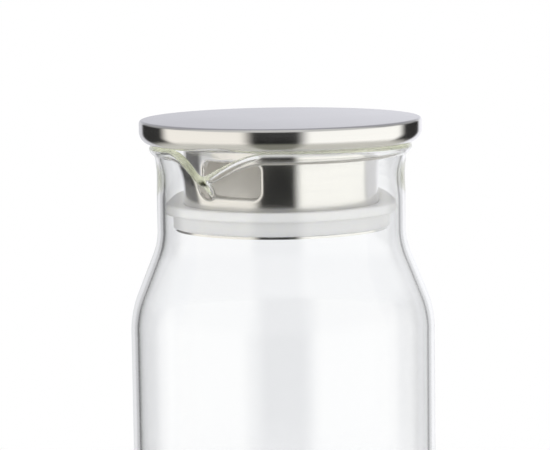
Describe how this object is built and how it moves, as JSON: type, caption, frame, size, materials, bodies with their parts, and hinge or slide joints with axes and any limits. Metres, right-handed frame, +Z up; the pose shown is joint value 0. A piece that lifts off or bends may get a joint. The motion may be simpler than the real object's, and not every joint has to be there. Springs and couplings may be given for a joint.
{
  "type": "glass pitcher",
  "caption": "Handle-less glass pitcher with a pulled pouring spout and a lift-off steel lid: hollow cap, drum with a pouring window and a soft seal ring.",
  "frame": {"origin": "centre of the foot, on the surface that the pitcher stands on", "axes": "+Z up along the axis of the glass; the pouring spout points along -Y"},
  "size_m": [0.1082, 0.1082, 0.24],
  "materials": {
    "clear_glass": "clear, smooth, faint green in the thick edges",
    "satin_steel": "satin top, polished side",
    "polished_steel": "polished",
    "frosted_silicone": "frosted, translucent"
  },
  "bodies": {
    "pitcher": {"glass_pitcher": "clear_glass"},
    "seal": {"seal_ring": "frosted_silicone"},
    "lid": {"lid_cap": "satin_steel", "lid_base_plate": "polished_steel", "lid_drum": "polished_steel"}
  },
  "joints": [
    {"name": "lid_lift", "type": "slide", "parent": "pitcher", "child": "seal", "axis": [0, 0, 1], "range_m": [0, 0.12]},
    {"name": "lid_turn", "type": "hinge", "parent": "seal", "child": "lid", "pos_m": [0, 0, 0.215], "axis": [0, 0, 1], "continuous": true}
  ]
}
